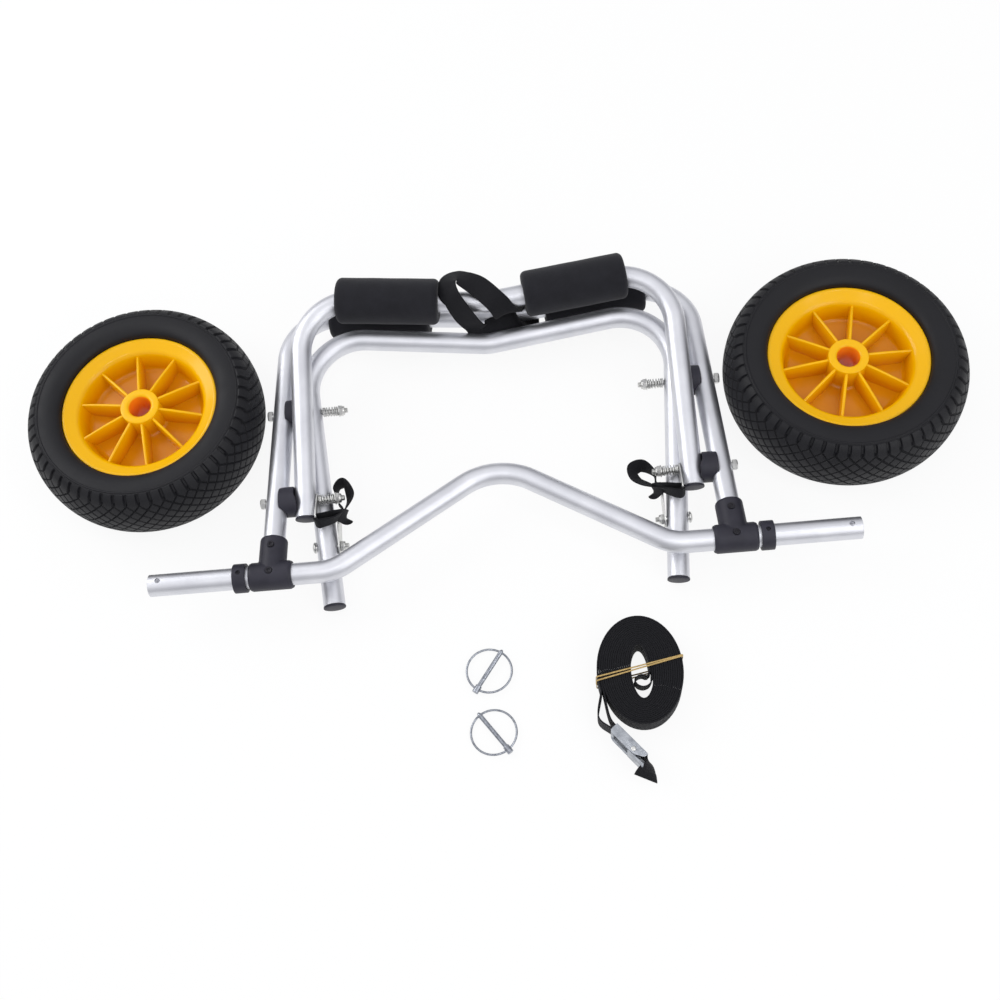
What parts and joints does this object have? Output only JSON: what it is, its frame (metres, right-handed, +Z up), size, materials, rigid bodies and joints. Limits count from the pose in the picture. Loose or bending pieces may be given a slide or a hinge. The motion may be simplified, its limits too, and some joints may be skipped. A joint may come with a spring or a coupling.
{
  "type": "kayak cart",
  "caption": "Folding kayak cart laid out flat: bent tube frames with foam pads, humped axle, loose wheels, ring pins and a rolled tie-down strap.",
  "frame": {"origin": "on the floor under the middle of the whole layout seen from above", "axes": "+X along the axle to the right of the picture, +Y from the axle towards the padded bars, +Z up from the floor"},
  "size_m": [0.9846, 0.5568, 0.1109],
  "materials": {
    "tube": "satin",
    "foam": "matt closed-cell foam",
    "fitting": "moulded, slightly glossy",
    "zinc": "zinc plated",
    "webbing": "woven",
    "tyre": "matt rubber",
    "rim": "glossy",
    "band": "matt"
  },
  "bodies": {
    "cart": {"axle_tube": "tube", "barrel_screw_left": "zinc", "barrel_screw_right": "zinc", "buckle_body": "zinc", "buckle_rivet": "zinc", "centre_strap": "webbing", "limit_strap_left": "webbing", "limit_strap_right": "webbing", "main_frame": "tube", "main_pad_left": "foam", "main_pad_right": "foam", "pivot_bolt_lower_left": "zinc", "pivot_bolt_lower_right": "zinc", "pivot_bolt_upper_left": "zinc", "pivot_bolt_upper_right": "zinc", "pivot_nut_lower_left": "zinc", "pivot_nut_lower_right": "zinc", "pivot_nut_upper_left": "zinc", "pivot_nut_upper_right": "zinc", "pivot_spring_lower_left": "zinc", "pivot_spring_lower_right": "zinc", "pivot_spring_upper_left": "zinc", "pivot_spring_upper_right": "zinc", "ring_1": "zinc", "ring_2": "zinc", "rubber_band": "band", "spacer_lower_left": "fitting", "spacer_lower_right": "fitting", "spacer_upper_left": "fitting", "spacer_upper_right": "fitting", "stem_screw_left": "zinc", "stem_screw_right": "zinc", "stop_collar_left": "fitting", "stop_collar_right": "fitting", "strap_anchor_left": "zinc", "strap_anchor_right": "zinc", "tee_left": "fitting", "tee_right": "fitting", "tie_down_webbing": "webbing"},
    "cradle": {"cradle_end_cap_left": "fitting", "cradle_end_cap_right": "fitting", "cradle_frame": "tube", "cradle_pad_left": "foam", "cradle_pad_right": "foam"},
    "kickstand": {"kickstand_foot_left": "fitting", "kickstand_foot_right": "fitting", "kickstand_frame": "tube", "stand_bolt_left": "zinc", "stand_bolt_right": "zinc", "stand_nut_left": "zinc", "stand_nut_right": "zinc", "stand_plate_left": "zinc", "stand_plate_right": "zinc"},
    "wheel_left": {"tyre_left": "tyre", "rim_left": "rim"},
    "wheel_right": {"tyre_right": "tyre", "rim_right": "rim"},
    "ring_pin_1": {"pin_1": "zinc"},
    "ring_pin_2": {"pin_2": "zinc"},
    "cam_lever": {"buckle_lever": "zinc"}
  },
  "joints": [
    {"name": "cradle_fold", "type": "hinge", "parent": "cart", "child": "cradle", "pos_m": [0, 0.025, 0.04136], "axis": [1, 0, 0], "range_deg": [0, 50], "deforming": ["centre_strap"]},
    {"name": "kickstand_fold", "type": "hinge", "parent": "cart", "child": "kickstand", "pos_m": [0, 0.13065, 0.03411], "axis": [1, 0, 0], "range_deg": [0, 30], "deforming": ["limit_strap_left", "limit_strap_right"]},
    {"name": "wheel_spin_left", "type": "hinge", "parent": "cart", "child": "wheel_left", "pos_m": [-0.368, 0.13689, 0.041], "axis": [0, 0, 1], "continuous": true},
    {"name": "wheel_spin_right", "type": "hinge", "parent": "cart", "child": "wheel_right", "pos_m": [0.368, 0.12269, 0.041], "axis": [0, 0, 1], "continuous": true},
    {"name": "ring_pin_swing_1", "type": "hinge", "parent": "cart", "child": "ring_pin_1", "pos_m": [-0.03504, -0.17711, 0.0035], "axis": [0.809, -0.5878, 0], "range_deg": [0, 120]},
    {"name": "ring_pin_swing_2", "type": "hinge", "parent": "cart", "child": "ring_pin_2", "pos_m": [-0.00787, -0.23924, 0.0035], "axis": [0.809, 0.5878, 0], "range_deg": [0, 120]},
    {"name": "cam_lever_press", "type": "hinge", "parent": "cart", "child": "cam_lever", "pos_m": [0.11074, -0.25375, 0.014], "axis": [0, 0, -1], "range_deg": [0, 35], "stiffness_Nm_per_rad": 0.05}
  ],
  "couplings": [
    {"joint": "kickstand_fold", "follows": "cradle_fold", "ratio": 0.6}
  ]
}
